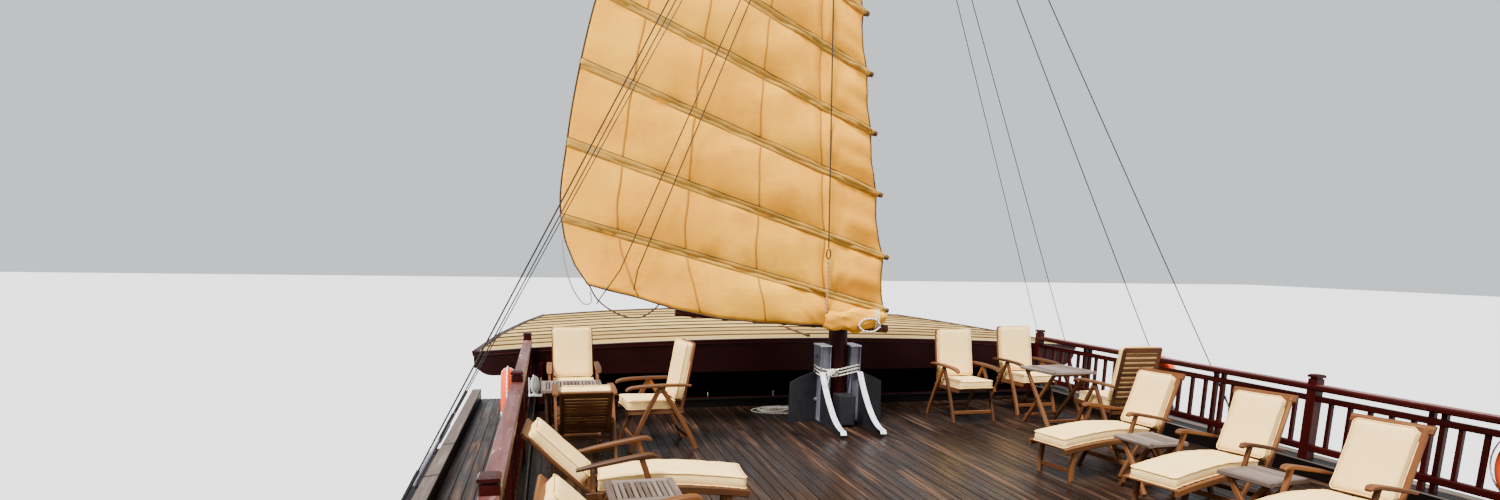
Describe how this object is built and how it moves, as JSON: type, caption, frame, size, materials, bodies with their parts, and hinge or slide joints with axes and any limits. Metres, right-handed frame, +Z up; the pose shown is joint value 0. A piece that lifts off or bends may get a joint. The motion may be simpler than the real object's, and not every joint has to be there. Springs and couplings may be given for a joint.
{
  "type": "chinese junk ship",
  "caption": "Wooden cruise junk afloat: a decked hull with a two-storey house, a railed sundeck with teak seats, a raised poop and masts with battened lug sails.",
  "frame": {"origin": "on the centreline amidships, at the height of the waterline", "axes": "+X towards the bow, +Y to port, +Z up"},
  "size_m": [33.2848, 9.24, 18.91],
  "materials": {
    "hull_wood": "dark varnish",
    "maroon_paint": "satin dark red paint",
    "deck_planks": "wet, worn varnish",
    "roof_planks": "weathered, bare",
    "teak": "oiled",
    "sailcloth": "woven cotton",
    "dark_bamboo": "varnish",
    "rigging_wire": "dark, greased",
    "galvanised_steel": "galvanised",
    "bronze": "cast",
    "black_iron": "painted black",
    "lifebuoy_orange": "gloss",
    "white_rope": "laid rope",
    "cream_cushion": "woven cotton",
    "window_glass": "clear"
  },
  "bodies": {
    "ship": {"hull": "hull_wood", "lower_house": "maroon_paint", "upper_house": "maroon_paint", "poop_house": "maroon_paint", "poop_stairs": "maroon_paint", "wheelhouse": "maroon_paint", "rail_port": "maroon_paint", "rail_starboard": "maroon_paint", "upper_rail_port": "maroon_paint", "upper_rail_starboard": "maroon_paint", "poop_rail": "maroon_paint", "foremast": "maroon_paint", "mainmast": "maroon_paint", "mizzenmast": "maroon_paint", "upper_deck": "deck_planks", "sundeck": "deck_planks", "forward_roof": "roof_planks", "helm": "teak", "armchair_1": "teak", "armchair_2": "teak", "armchair_3": "teak", "armchair_4": "teak", "armchair_5": "teak", "armchair_6": "teak", "table_1": "teak", "table_2": "teak", "table_3": "teak", "table_4": "teak", "table_5": "teak", "lounger_1": "teak", "lounger_2": "teak", "lounger_3": "teak", "lounger_4": "teak", "lounger_5": "teak", "fore_shrouds_port": "rigging_wire", "fore_shrouds_starboard": "rigging_wire", "main_shrouds_port": "rigging_wire", "main_shrouds_starboard": "rigging_wire", "foremast_tabernacle": "galvanised_steel", "mainmast_tabernacle": "galvanised_steel", "mizzenmast_tabernacle": "galvanised_steel", "anchor_port": "black_iron", "anchor_starboard": "black_iron", "windlass": "black_iron", "lifebuoy_port": "lifebuoy_orange", "lifebuoy_starboard": "lifebuoy_orange", "rope_coil": "white_rope"},
    "rudder": {"rudder": "hull_wood"},
    "propeller": {"propeller": "bronze"},
    "fore_rig": {"fore_sail": "sailcloth", "fore_boom": "dark_bamboo", "fore_yard": "dark_bamboo"},
    "main_rig": {"main_sail": "sailcloth", "main_boom": "dark_bamboo", "main_yard": "dark_bamboo"},
    "mizzen_rig": {"mizzen_sail": "sailcloth", "mizzen_boom": "dark_bamboo", "mizzen_yard": "dark_bamboo"},
    "port_door": {"wheelhouse_door_port": "maroon_paint"},
    "starboard_door": {"wheelhouse_door_starboard": "maroon_paint"}
  },
  "joints": [
    {"name": "rudder_swing", "type": "hinge", "parent": "ship", "child": "rudder", "pos_m": [-13.35, 0, 0], "axis": [0, 0, 1], "range_deg": [-35, 35]},
    {"name": "propeller_spin", "type": "hinge", "parent": "ship", "child": "propeller", "pos_m": [-12.05, 0, -1.19], "axis": [1, 0, 0], "continuous": true},
    {"name": "fore_sail_swing", "type": "hinge", "parent": "ship", "child": "fore_rig", "pos_m": [8, 0, 6.3], "axis": [0, 0, 1], "range_deg": [-60, 4]},
    {"name": "main_sail_swing", "type": "hinge", "parent": "ship", "child": "main_rig", "pos_m": [-3.2, 0, 6.3], "axis": [0, 0, 1], "range_deg": [-65, 30]},
    {"name": "mizzen_sail_swing", "type": "hinge", "parent": "ship", "child": "mizzen_rig", "pos_m": [-12.1, 0, 7.35], "axis": [0, 0, 1], "range_deg": [-60, 60]},
    {"name": "port_door_swing", "type": "hinge", "parent": "ship", "child": "port_door", "pos_m": [10.9, 3.0966, 3.9], "axis": [0, 0, 1], "range_deg": [-95, 0]},
    {"name": "starboard_door_swing", "type": "hinge", "parent": "ship", "child": "starboard_door", "pos_m": [10.9, -3.0966, 3.9], "axis": [0, 0, 1], "range_deg": [0, 95]}
  ]
}
